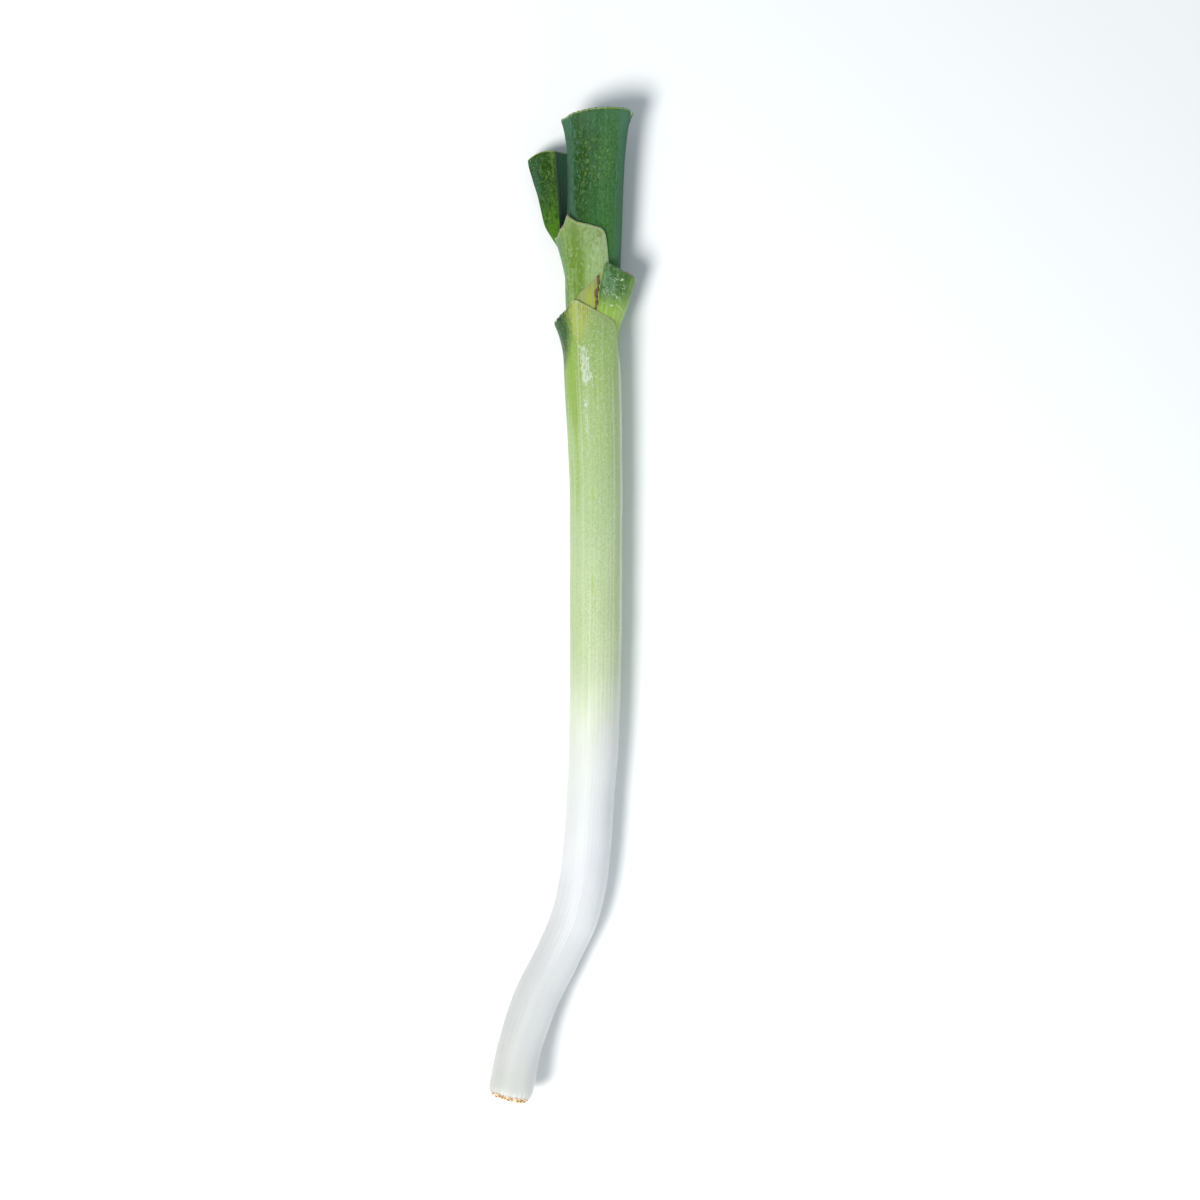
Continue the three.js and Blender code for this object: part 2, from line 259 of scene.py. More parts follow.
class Finish:
    """A new material, with the two maps that every leaf's mesh carries taken apart into wires. Its skin
    is the colour worked out so far."""

    def __init__(self, name, **same_all_over):
        self.material = bpy.data.materials.new(name)
        self.material.use_nodes = True
        self.shader = self.material.node_tree.nodes["Principled BSDF"]
        for socket, value in same_all_over.items():
            self.shader.inputs[socket.replace("_", " ")].default_value = value
        start = Wire(self.shader.outputs[0])
        self.straight = start.node("Attribute", {"attribute_name": "straight"}, {}, output="Vector")
        self.across, height, self.up = (
            start.node("SeparateXYZ", {}, {0: self.straight}, output=axis) for axis in "XYZ")
        self.angle = start.math("ARCTAN2", height, self.across) * (180 / math.pi)
        place = start.node("Attribute", {"attribute_name": "place"}, {}, output="Vector")
        self.below, self.depth, self.area = (
            start.node("SeparateXYZ", {}, {0: place}, output=axis) for axis in "XYZ")

    def threads(self, scale, width):
        """Thin wandering threads, broken into short pieces: 1 on a thread and 0 off it."""
        wandering = self.straight.noise(scale, scale * 0.7, detail=2.0, warp=1.2) - 0.5
        pieces = self.straight.noise(scale * 1.3, scale, detail=1.0).between(0.48, 0.6)
        return (wandering * wandering).between(width * width, 0.0) * pieces

    def tint(self, shade, share):
        """Mixes the skin's colour towards a shade, given as for colour(), by a share that varies."""
        self.skin = self.skin.towards(colour(*shade), share)

    def paint(self):
        """Colours the skin, with painted shade on its lit left side and painted light on its right."""
        share = self.across * (PAINTED_LIGHT_SIDEWAYS / STRAIGHT_RADIUS) + PAINT_MIDDLE
        self.set(Base_Color=self.skin.node("VectorMath", {"operation": "SCALE"}, {
            0: self.skin, "Scale": share}))

    def set(self, **varying):
        for socket, wire in varying.items():
            self.material.node_tree.links.new(wire.socket, self.shader.inputs[socket.replace("_", " ")])

    def relief(self, height, depth_mm):
        """Bumps the surface by a height of 0 to 1 that stands for that many millimetres."""
        self.set(Normal=height.node("Bump", {}, {
            "Strength": 1.0, "Distance": depth_mm * MM, "Height": height}))

    def patch(self, angle, up, half_angle, half_up):
        """A soft oval area round a place on the stalk: 1 in its middle and 0 outside."""
        turned = self.angle.node("Math", {"operation": "WRAP"}, {
            0: self.angle - angle, 1: 180.0, 2: -180.0})
        sideways = turned / half_angle
        lengthways = (self.up - up) / half_up
        return (sideways * sideways + lengthways * lengthways).between(1.0, 0.25)


def dress(piece, finish, slot, *nodes):
    """Puts a finished piece on the plant's body, in place of its plain CAD nodes."""
    piece.data.materials.append(finish.material)
    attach(piece, "root")
    if nodes:
        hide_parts(*nodes)


def root_plate():
    angles = turn(96)
    bumpy = 0.12 * np.sin(5 * angles) + 0.08 * np.sin(11 * angles + 1)
    points, areas = [], []
    for share in np.linspace(0, 1, 14):
        size = PLATE_OUT + (1 - share) * (PLATE_CENTRE - PLATE_OUT)
        ring = on_stalk(angles, 0, size)
        under = on_stalk(angles, PLATE_UNDER, size)
        dome = PLATE_UNDER + PLATE_ROUNDING * share ** 4 + bumpy * share * (1 - share)
        points.append(ring + (under - ring) * (dome / PLATE_UNDER)[:, None])
        areas.append(np.full(len(angles), share))
    for up in (0.0, PLATE_TOP):
        points.append(on_stalk(angles, up, PLATE_OUT))
        areas.append(np.ones(len(angles)))
    points.append(on_stalk(angles, PLATE_TOP, PLATE_CENTRE))
    areas.append(np.zeros(len(angles)))
    points, areas = np.array(points), np.array(areas)
    straight = points - [PLATE_MIDDLE[0], PLATE_MIDDLE[1], PLATE_HEIGHT]
    place = np.stack([np.zeros_like(areas), np.zeros_like(areas), areas], -1)
    return skin("root_plate_cut", points, straight, place)


plate = Finish("cut_stem", Roughness=0.75)
fibres = plate.straight.noise(0.7, 0.7, detail=5.0, warp=0.6)
rings = plate.area.math("SINE", plate.area * 40.0 + fibres * 5.0) * 0.5 + 0.5
plate.skin = (rings * 0.6).blend(colour(226, 214, 178), colour(196, 172, 120))
plate.tint((150, 96, 50), fibres.between(0.52, 0.68) * 0.7)
plate.tint((156, 104, 48), plate.area.between(0.72, 0.98) * fibres.between(0.4, 0.54))
plate.set(Base_Color=plate.skin)
plate.relief(fibres + rings * 0.3, 0.25)
dress(root_plate(), plate, "root_tissue", "root_plate")


# ---- The innermost leaf --------------------------------------------------------------------------
# A wide hollow blade, cut straight across. Below the other leaves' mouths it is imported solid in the
# shank. Its dark green skin has fine veins and a blue-grey wax bloom, which handling has rubbed off in
# mottled patches.

SHEATH_BOTTOM = 2.0  # the leaves inside the outermost one start here, just above the plate
HEART_CENTRE = -5.7  # how far off its outside its middle is
BLADE_WALL = 0.9
BLADE_HOLLOW_UP = 352
BLADE_BARE_UP = 330  # the other leaves hide it below here
BLADE_CUT = 408.8
BLADE_CUT_LEAN = 1.6  # further up on its right than at its middle
BLADE_CUT_ARC = 2.2  # further up on its top wall
NICK_DEPTH = 2.6
LEFT_DIP = 0.55
JUT = 1.1  # of the lower wall, sideways


def signed(angle, full_turn=2 * math.pi):
    """The same angle, no more than half a turn from 0 either way."""
    return (angle + full_turn / 2) % full_turn - full_turn / 2


def bump(offset, width):
    """A smooth bump: 1 where the offset is 0, and about a third at that width to either side."""
    return np.exp(-(offset / width) ** 2)


def blade_cut(angle):
    """How far up the cut is. It is a shallow arc, with a nick at the right-hand corner of its top wall."""
    nick = NICK_DEPTH * bump(signed(angle) - 0.13, 0.1)
    left_dip = LEFT_DIP * bump(signed(angle) - 2.62, 0.2)
    uneven = 0.1 * np.sin(37 * angle) + 0.07 * np.sin(61 * angle + 1)
    arc = BLADE_CUT_LEAN * np.cos(angle) + BLADE_CUT_ARC * np.sin(angle)
    return BLADE_CUT + arc - nick - left_dip + uneven


def blade_jut(angle, up):
    """How far the lower wall stands out sideways, beside the nick."""
    return JUT * bump(signed(angle) + 0.16, 0.14) * np.clip((up - 400) / 11, 0, 1) ** 2


def wobble(angle, up, seed):
    """A slow unevenness from -1 to 1 that real growth leaves in a surface."""
    draw = np.random.default_rng(seed)
    total = 0
    most = 2.1  # about what the lobes add up to
    for lobes in (1, 2, 3, 5):
        length = draw.uniform(25, 60)
        start = draw.uniform(0, 6.3)
        total = total + np.sin(lobes * angle + up / length * 2 * math.pi + start) / lobes
    return total / most


def ribs(angle, up, count):
    """Low lengthwise ribs over the veins, from -1 to 0."""
    return 0.5 * np.cos(count * angle + 0.4 * np.sin(up / 37)) - 0.5


def pulled_straight(angle, up):
    """The same points with the stalk pulled straight, so that the veins' pattern follows its bends."""
    angle, up = np.broadcast_arrays(angle, up)
    return np.stack([STRAIGHT_RADIUS * np.cos(angle), STRAIGHT_RADIUS * np.sin(angle), up], -1)


def inner_leaf():
    angles = turn(224)
    cut = blade_cut(angles)
    inside = -BLADE_WALL - 0.1
    rows = [(SHEATH_BOTTOM, HEART_CENTRE, 0), (SHEATH_BOTTOM, 0, 0)]  # (up, out, depth through the wall)
    rows += [(up, 0, 0) for up in np.arange(10, BLADE_BARE_UP, 10)]
    for share in np.linspace(0, 1, 90):
        up = BLADE_BARE_UP + (cut - BLADE_BARE_UP) * share
        relief = 0.06 * ribs(angles, up, 36) + 0.18 * wobble(angles, up, 1) - 0.2
        rows.append((up, np.clip((up - 340) / 20, 0, 1) * relief, 0))
    rows += [(cut - 0.1, -0.45, 0.15), (cut + 0.12, -0.65, 0.4), (cut + 0.12, -BLADE_WALL, 0.8)]
    rows += [(cut - 0.3, inside, 1)]
    rows += [(BLADE_HOLLOW_UP + (cut - 0.3 - BLADE_HOLLOW_UP) * share, inside, 1)
             for share in np.linspace(0.97, 0.03, 24)]
    rows += [(BLADE_HOLLOW_UP, HEART_CENTRE, 1), (BLADE_HOLLOW_UP - 1, HEART_CENTRE, 1)]
    points, straight, place = [], [], []
    for up, out, depth in rows:
        up = up + 0 * angles
        pinch = 1 + 0.45 * np.clip((up - 350) / 50, 0, 1)
        points.append(on_stalk(angles, up, out, blade_jut(angles, up), pinch))
        straight.append(pulled_straight(angles, up))
        place.append(np.stack([cut - up, depth + 0 * up, 0 * up], -1))
    return skin("inner_leaf_blade", np.array(points), np.array(straight), np.array(place))


blade = Finish("blade_skin", Specular_IOR_Level=0.13)
fine_veins = blade.straight.noise(2.6, 0.02, detail=2.0)
streaks = blade.straight.noise(1.1, 0.05, detail=5.0)
clouds = blade.straight.noise(0.16, 0.07, detail=3.0, warp=0.5)
mottle = blade.straight.noise(0.85, 0.4, detail=4.0, warp=0.8)
grain = blade.straight.noise(2.2, 1.2, detail=2.0)
cells = blade.straight.noise(1.5, 0.8, detail=4.0, warp=1.0)
blade.skin = clouds.between(0.3, 0.7).blend(colour(44, 78, 36), colour(52, 92, 44))
lower_part = blade.up.between(396.0, 352.0) * blade.patch(72.0, 352.0, 66.0, 52.0)
blade.tint((38, 94, 14), lower_part * 0.85)
# Painted light: the blade's upper right side is painted a paler green.
blade.tint((78, 122, 64), blade.patch(50.0, 374.0, 46.0, 60.0) * 0.5)
left_wax = (blade.patch(180.0, 385.0, 68.0, 90.0) + (cells - 0.5) * 1.2).between(0.1, 1.0)
wax = (left_wax * 0.85 + blade.patch(10.0, 385.0, 44.0, 90.0) * 0.75
       + blade.up.between(396.0, 411.0) * 0.25)
rubbed = blade.patch(124.0, 383.0, 23.0, 32.0) * (mottle * 0.4 + cells * 0.6).between(0.41, 0.55)
wax = (wax + 0.12) * (streaks * 0.4 + grain * 0.6).between(0.28, 0.56) * (1 - rubbed)
blade.tint((74, 112, 92), wax)
spots = mottle.between(0.56, 0.66) * blade.patch(100.0, 378.0, 75.0, 50.0)
blade.tint((38, 84, 16), spots * 0.75)
blade.tint((36, 80, 22), cells.between(0.52, 0.6) * blade.patch(100.0, 380.0, 95.0, 44.0) * 0.55)
blade.tint((84, 128, 94), cells.between(0.44, 0.38) * blade.patch(100.0, 390.0, 95.0, 34.0) * 0.45)
blade.tint((44, 80, 48), fine_veins.between(0.5, 0.7) * 0.3)
blade.tint((66, 102, 70), grain.between(0.56, 0.7) * 0.4)
blade.tint((28, 68, 0), rubbed * 0.9)
scratched = blade.patch(88.0, 391.0, 40.0, 13.0) + blade.patch(120.0, 384.0, 18.0, 22.0) * 0.5
scratches = (blade.threads(0.42, 0.014) + blade.threads(0.8, 0.014) * 0.5) * scratched
blade.tint((140, 168, 84), scratches * 0.75)
cut_rim = blade.below.between(0.75, 0.4) * blade.depth.between(1.0, 0.9)
blade.tint((176, 198, 118), cut_rim * grain.between(0.3, 0.5) * 0.85)
blade.tint((112, 150, 72), blade.depth.between(0.9, 1.0) * 0.6)
blade.paint()
blade.set(Roughness=0.46 + wax * 0.3 + streaks * 0.06)
blade.relief(fine_veins * 0.3 + streaks * 0.4 + mottle * 0.4 + cells * 0.4 + grain * 0.2, 0.16)
dress(inner_leaf(), blade, "blade_skin", "inner_leaf")


# ---- The third leaf ------------------------------------------------------------------------------
# A thin pale sheath with a browned lip, and on its left a collapsed tubular blade with a ridge along
# its top, cut across. The blade is one growth with the sheath: it leaves the wall below the lip.

THIRD_OUT = 1.2  # how far its outside stands off the innermost leaf's

# Upper edge: [degrees round from the side its blade leaves on, distance up].
THIRD_EDGE = [
    [0, 358], [10, 358.1], [20, 359.4], [26, 362], [30, 363.2], [33, 365], [36, 367.4], [38, 366.9],
    [42, 366], [55, 364.2], [72, 363.4], [90, 362.5], [101, 361.9], [106, 361.2], [110, 360],
    [114, 357.5], [118, 352.5], [121, 348], [126, 342], [133, 336], [150, 328], [180, 324],
]

# The blade: [distance up, left edge x and z, ridge x and z, right edge x and z, underside z].
SIDE_BLADE = [
    [350, 21.4, 10.4, 22.5, 12.6, 23.4, 10.6, 8.2],
    [354, 20.2, 10.4, 22.0, 13.4, 23.4, 9.8, 7.0],
    [359, 17.2, 10.0, 21.3, 14.0, 23.4, 8.4, 5.6],
    [364, 14.3, 9.4, 20.9, 14.2, 23.6, 7.6, 4.8],
    [369, 13.0, 9.0, 20.6, 14.0, 23.9, 7.2, 4.4],
    [377, 11.2, 8.3, 20.1, 13.6, 24.1, 6.6, 4.0],
    [386, 8.7, 7.6, 19.4, 13.0, 24.2, 6.0, 3.6],
    [395, 7.0, 7.2, 18.8, 12.6, 24.2, 5.6, 3.4],
]
SIDE_BLADE_BULGES = (0.7, -0.55, 0.5, 0.7)  # how far its four sides stand out between their edges
SIDE_BLADE_INSIDE = 0.86  # the hollow's size, as a share of its outside's
SIDE_BLADE_RADIUS = 6
CORNER_CUT_BACK = 3.3  # how much lower the cut is at its left corner
CORNER_FROM = 15.0  # the corner starts at this x
CORNER_TO = 7.0


def edge_of(rows, blade_side):
    """A leaf's upper edge by angle, from rows of [degrees from its blade's side, distance up]."""
    edge = through(rows)

    def height(angle):
        return edge(np.abs(signed(np.degrees(angle) - blade_side, 360)))[0]

    return height


RIM_ROUNDING = [(0, 0.72), (0.5, 0.42), (1.3, 0.18), (2.4, 0.04)]  # [up from the bottom, in from the skin]


def wall(angles, edge, relief, bottom, bare_from, mouth, outside, inside, lip_outside, lip_inside):
    """A sheath's wall, as rows up its outside, over its lip and down its inside: (up, out, depth). It
    tapers from its mouth to its lip, and its rows are close together above where it is bare."""
    coarse = [up for up in np.arange(bottom + 3, mouth, 9.0) if up < bare_from]
    fine = list(np.arange(max(bare_from, bottom + 3), mouth, 1.2))
    rows = [(bottom + up, outside - inset, 0) for up, inset in RIM_ROUNDING]
    rows += [(up, outside + relief(angles, up), 0) for up in coarse + fine]
    for share in np.linspace(0, 1, 44):
        up = mouth + (edge - mouth) * share
        out = outside + (lip_outside - outside) * share ** 2
        rows.append((up, out + relief(angles, up) * (1 - share), 0))
    rows += [(edge + 0.1, lip_outside * 0.7 + lip_inside * 0.3, 0.4),
             (edge + 0.1, lip_outside * 0.3 + lip_inside * 0.7, 0.7), (edge - 0.1, lip_inside, 1)]
    rows += [(mouth + (edge - mouth) * share, inside + (lip_inside - inside) * share ** 2, 1)
             for share in np.linspace(0.95, 0, 16)]
    rows += [(up, inside, 1) for up in list(np.arange(bottom + 3, mouth - 2, 9.0))[::-1]]
    rows += [(bottom, inside, 1)]
    return rows


def sheath(name, angles, edge, rows, flare, area=lambda angle, up: 0 * up):
    """A tubular leaf's mesh, from its wall's rows."""
    points, straight, place = [], [], []
    for up, out, depth in rows:
        up = up + 0 * angles
        points.append(on_stalk(angles, up, out, flare(angles, up)))
        straight.append(pulled_straight(angles, up))
        place.append(np.stack([edge - up, depth + 0 * up, area(angles, up)], -1))
    return skin(name, np.array(points), np.array(straight), np.array(place), ringed=True)


def flare_of(blade_side, starts, ends, reach, bend, sharpness):
    """How far a blade bends sideways off the stalk, by angle and distance up. A sharper blade base takes
    a narrower part of the sheath with it."""
    side = math.radians(blade_side)

    def flare(angle, up):
        grown = np.clip((up - starts) / (ends - starts), 0, 1.3) ** bend
        return reach * math.cos(side) * grown * np.clip(np.cos(angle - side), 0, 1) ** sharpness

    return flare


def third_sheath():
    angles = turn(192, 60, 160, 1.6)
    edge = edge_of(THIRD_EDGE, 180)(angles)
    facing = np.clip(np.cos(angles - math.pi), 0, 1) ** 2

    def relief(angle, up):
        return 0.05 * ribs(angle, up, 34) + 0.1 * wobble(angle, up, 5) - 0.1

    rows = wall(angles, edge, relief, bottom=SHEATH_BOTTOM, bare_from=318, mouth=330, outside=THIRD_OUT,
                inside=0.35, lip_outside=0.62 + 0.4 * facing, lip_inside=0.28)
    flare = flare_of(180, starts=341, ends=356, reach=3.8, bend=1.3, sharpness=5)
    return sheath("third_leaf_sheath", angles, edge, rows, flare)


def side_blade():
    at = through(SIDE_BLADE)
    first, last = SIDE_BLADE[0][0], SIDE_BLADE[-1][0]
    steps = np.arange(28) / 28

    def ring(up):
        left_x, left_z, ridge_x, ridge_z, right_x, right_z, under_z = at(np.array(float(up)))
        under_x = (left_x + right_x) / 2
        corners = np.array([[left_x, left_z], [ridge_x, ridge_z], [right_x, right_z], [under_x, under_z]])
        sides = []
        for i in range(4):
            start, end = corners[i], corners[(i + 1) % 4]
            along = end - start
            away = np.array([-along[1], along[0]]) / np.linalg.norm(along)
            bulge = SIDE_BLADE_BULGES[i] * min(1, (up - first) / 12)
            bulged = np.outer(np.sin(math.pi * steps) * bulge, away)
            sides.append(start + np.outer(steps, along) + bulged)
        outline = np.concatenate(sides)
        for _ in range(3):
            outline = (np.roll(outline, 1, 0) + 2 * outline + np.roll(outline, -1, 0)) / 4
        return outline

    count = 4 * len(steps)
    share_round = np.arange(count) / count
    hollow_from = first + 13
    stops = [(first, 0.02, 0)] + [(up, 1, 0) for up in np.linspace(first, last, 60)]  # (up, size, depth)
    stops += [(last + 0.1, 0.97, 0.3), (last + 0.1, 0.9, 0.7), (last - 0.3, SIDE_BLADE_INSIDE, 1)]
    stops += [(up, SIDE_BLADE_INSIDE, 1) for up in np.linspace(last - 2, hollow_from + 1, 14)]
    stops += [(hollow_from, 0.02, 1)]
    points, straight, place = [], [], []
    for up, size, depth in stops:
        outline = ring(up)
        middle = outline.mean(0)
        outline = middle + (outline - middle) * size
        x, z = outline.T
        left_corner = np.clip((CORNER_FROM - x) / (CORNER_FROM - CORNER_TO), 0, 1)
        cut = last + 0.1 - CORNER_CUT_BACK * left_corner ** 2
        risen = first + (cut - first) * (up - first) / (last - first)
        points.append(np.stack([x + PLATE_MIDDLE[0], risen + PLATE_MIDDLE[1], z], -1))
        turned = 2 * math.pi * share_round
        straight.append(np.stack([
            SIDE_BLADE_RADIUS * np.cos(turned), SIDE_BLADE_RADIUS * np.sin(turned), risen], -1))
        place.append(np.stack([cut - risen, depth + 0 * cut, share_round], -1))
    return skin("third_leaf_blade", np.array(points), np.array(straight), np.array(place))


# Light goes a few millimetres into the watery flesh, and its waxy bloom shines faintly at a slant.
WAXY = {"Subsurface_Weight": 1.0, "Subsurface_Radius": (1.0, 1.0, 0.9), "Subsurface_Scale": 0.003,
        "Sheen_Weight": 0.2, "Sheen_Roughness": 0.45}

third = Finish("third_sheath_skin", Specular_IOR_Level=0.3, **WAXY)
fine_veins = third.straight.noise(2.4, 0.02, detail=2.0)
streaks = third.straight.noise(1.0, 0.06, detail=4.0)
broad = third.straight.noise(0.3, 0.03, detail=3.0)
mottle = third.straight.noise(1.0, 0.5, detail=3.0, warp=0.5)
third.skin = streaks.between(0.3, 0.7).blend(colour(146, 172, 100), colour(160, 186, 122))
vivid = third.patch(134.0, 340.0, 34.0, 30.0) * (broad * 0.6 + mottle * 0.4).between(0.34, 0.56)
third.tint((104, 142, 8), vivid)
third.tint((164, 190, 138), third.patch(66.0, 345.0, 30.0, 26.0) * 0.6)
third.tint((100, 142, 94), third.patch(182.0, 340.0, 34.0, 60.0) * 0.85)
upper = third.patch(100.0, 361.0, 52.0, 12.0)
third.tint((118, 144, 82), upper * mottle.between(0.42, 0.62) * 0.55)
third.tint((106, 140, 62), fine_veins.between(0.5, 0.7) * 0.3)
third.tint((120, 150, 52), mottle.between(0.54, 0.64) * 0.45)
scuffs = (third.threads(0.4, 0.018) * third.patch(100.0, 338.0, 50.0, 26.0) + mottle.between(0.74, 0.8)
          + third.threads(0.6, 0.025) * third.patch(150.0, 343.0, 22.0, 26.0))
third.tint((214, 224, 190), scuffs * 0.5)
third.tint((184, 198, 146), third.below.between(1.6, 0.5) * 0.5)
lip = third.below.between(0.6, 0.15)
left_margin = third.below.between(1.3, 0.3) * third.patch(150.0, 363.0, 14.0, 8.0)
browned = lip * streaks.between(0.35, 0.6) * 0.7 + left_margin * streaks.between(0.3, 0.5)
third.tint((122, 98, 66), browned)
third.paint()
third.set(Roughness=0.4 + streaks * 0.12)
third.relief(fine_veins * 0.3 + streaks * 0.5 + mottle * 0.4 + scuffs * 0.3, 0.14)
dress(third_sheath(), third, "third_skin", "third_leaf")

side = Finish("third_blade_skin", Specular_IOR_Level=0.12)
streaks = side.straight.noise(1.2, 0.08, detail=5.0)
mottle = side.straight.noise(0.7, 0.28, detail=5.0, warp=0.9)
grain = side.straight.noise(2.4, 1.0, detail=3.0, warp=0.5)
# The area share goes round the blade: its left face to 0.25, where the ridge is, its right face to 0.5,
# then underneath.
left_face = side.area.between(0.265, 0.235)
right_face = side.area.between(0.24, 0.27) * side.area.between(0.6, 0.5)
beside_ridge = side.area.between(0.1, 0.2) * left_face
side.skin = mottle.between(0.38, 0.6).blend(colour(28, 60, 18), colour(40, 80, 32))
outer_part = side.area.between(0.16, 0.0) * side.up.between(358.0, 384.0)
side.tint((66, 100, 82), outer_part * grain.between(0.3, 0.6) * 0.75)
side.tint((88, 116, 46), beside_ridge * (streaks + grain).between(0.9, 1.15) * 0.7)
side.tint((64, 112, 84), right_face * 0.9)
side.tint((44, 86, 64), right_face * streaks.between(0.45, 0.6) * 0.7)
side.tint((24, 56, 0), mottle.between(0.46, 0.58) * left_face * 0.85)
side.tint((66, 96, 66), grain.between(0.55, 0.68) * left_face * 0.35)
young = left_face * side.up.between(382.0, 356.0)
side.tint((66, 112, 0), young * mottle.between(0.6, 0.48) * 0.9)
scratched = left_face * side.up.between(354.0, 364.0) * mottle.between(0.4, 0.55)
side.tint((140, 164, 86), (side.threads(0.4, 0.016) + side.threads(0.9, 0.014)) * scratched * 0.6)
ridge_line = side.area.between(0.238, 0.248) * side.area.between(0.268, 0.256)
side.tint((112, 104, 78), ridge_line * streaks.between(0.4, 0.55) * 0.6)
side.tint((112, 150, 106), side.up.between(357.0, 351.0) * 0.9)
cut_rim = side.below.between(0.55, 0.2) * side.depth.between(1.0, 0.9)
side.tint((124, 154, 84), cut_rim * 0.8)
side.tint((96, 140, 62), side.depth.between(0.9, 1.0) * 0.6)
side.set(Base_Color=side.skin, Roughness=0.38 + streaks * 0.15)
side.relief(streaks * 0.7 + mottle * 0.6 + grain * 0.2, 0.18)
dress(side_blade(), side, "third_skin")


# ---- The second leaf -----------------------------------------------------------------------------
# A yellow-green sheath with a thin lip. On its right the blade is cut to a short stub: its left margin
# is folded up along a crease, where the skin has shrivelled brown.

SECOND_OUT = 2.3  # how far its outside stands off the innermost leaf's

# Upper edge: [degrees round from the side its blade leaves on, distance up].
SECOND_EDGE = [
    [0, 340.2], [14, 341.8], [32, 343.2], [50, 344.6], [66, 346.6], [72, 347.3], [74, 346.4],
    [76, 343.4], [80, 341.6], [88, 340.2], [104, 336.9], [118, 334.4], [127, 331.4], [148, 328.6],
    [180, 327],
]
CREASE = [[318, 84], [330, 81], [339, 77.5], [347, 74.5]]  # [distance up, degrees]
STUB_THICKER = 0.8  # how much further out the stub's skin is than the thin sheath's

crease_at = through(CREASE)


def stub_share(angle, up):
    """1 on the stub and 0 on the thin sheath beside its crease."""
    turned = signed(np.degrees(angle), 360)
    before_crease = np.clip((crease_at(up)[0] - turned) / 2.2 + 0.5, 0, 1)
    return before_crease * np.clip((turned + 75) / 30, 0, 1) * np.clip((up - 324) / 7, 0, 1)


def second_leaf():
    angles = turn(192, 55, 100, 3)
    edge = edge_of(SECOND_EDGE, 0)(angles)
    on_stub = stub_share(angles, edge)

    def relief(angle, up):
        stub = STUB_THICKER * stub_share(angle, up + 0 * angle)
        return stub + 0.05 * ribs(angle, up, 34) + 0.08 * wobble(angle, up, 9) - 0.1

    rows = wall(angles, edge, relief, bottom=SHEATH_BOTTOM, bare_from=300, mouth=317, outside=SECOND_OUT,
                inside=1.5, lip_outside=1.62 + 1.1 * on_stub, lip_inside=1.32 - 0.1 * on_stub)
    flare = flare_of(0, starts=319, ends=341, reach=4.1, bend=1.5, sharpness=1.5)
    return sheath("second_leaf_sheath", angles, edge, rows, flare, stub_share)


second = Finish("second_leaf_skin", Specular_IOR_Level=0.3, **WAXY)
fine_veins = second.straight.noise(2.4, 0.02, detail=2.0)
streaks = second.straight.noise(1.1, 0.06, detail=4.0)
mottle = second.straight.noise(0.7, 0.35, detail=4.0, warp=0.8)
broad = second.straight.noise(0.25, 0.04, detail=3.0)
second.skin = streaks.between(0.3, 0.7).blend(colour(142, 174, 66), colour(166, 196, 104))
second.tint((160, 172, 98), second.patch(104.0, 336.0, 28.0, 14.0) * 0.85)
second.tint((148, 122, 66), second.patch(88.0, 336.0, 15.0, 9.0) * fine_veins.between(0.5, 0.62) * 0.7)
second.tint((178, 196, 44), second.patch(92.0, 331.0, 14.0, 8.0) * streaks.between(0.62, 0.45) * 0.75)
second.tint((100, 140, 96), second.patch(-8.0, 318.0, 32.0, 22.0) * 0.85)
stub_colour = mottle.between(0.35, 0.65).blend(colour(60, 100, 32), colour(82, 120, 56))
bloom = second.patch(64.0, 339.0, 15.0, 12.0) * mottle.between(0.4, 0.55)
stub_colour = stub_colour.towards(colour(108, 142, 108), bloom * 0.75)
paler = second.patch(16.0, 336.0, 22.0, 10.0) * streaks.between(0.35, 0.6)
stub_colour = stub_colour.towards(colour(128, 160, 70), paler * 0.7)
stub_green = second.area.between(0.3, 0.5) * second.up.between(326.0, 337.0)
second.skin = second.skin.towards(stub_colour, stub_green)
second.tint((96, 134, 52), fine_veins.between(0.5, 0.7) * 0.3)
scuffs = ((second.threads(0.3, 0.018) + second.threads(0.7, 0.024)) * second.patch(56.0, 336.5, 28.0, 9.5)
          + second.threads(0.7, 0.025) * 0.4 * second.patch(50.0, 320.0, 60.0, 14.0))
second.tint((212, 226, 200), scuffs * 0.8)
off_tear = (second.up - 328.6 - (second.angle - 34.0) * 0.12) * 3.0
torn_line = (off_tear * off_tear).between(1.0, 0.0) * second.patch(36.0, 328.8, 16.0, 4.0)
second.tint((188, 206, 130), torn_line * 0.8)
lip = second.below.between(0.7, 0.2)
second.tint((166, 154, 100), lip * (1 - stub_green) * 0.7)
second.tint((128, 108, 84), lip * stub_green * broad.between(0.4, 0.56) * 0.8)
second.paint()
second.set(Roughness=0.4 + streaks * 0.12)
second.relief(fine_veins * 0.3 + streaks * 0.5 + mottle * 0.4 + scuffs * 0.5, 0.16)
dress(second_leaf(), second, "second_skin", "second_leaf")


# ---- The shrivelled fold -------------------------------------------------------------------------
# Beside the stub's crease the sheath's thin lip has dried into a dark crumpled ribbon. It stays joined
# to the second leaf all along its foot.

FOLD_FROM = 324.5
FOLD_LENGTH = 17.5
KNOTS = [(0.86, 0.07, 0.45), (0.6, 0.05, 0.25)]  # [share of the way along it, width, how much thicker]


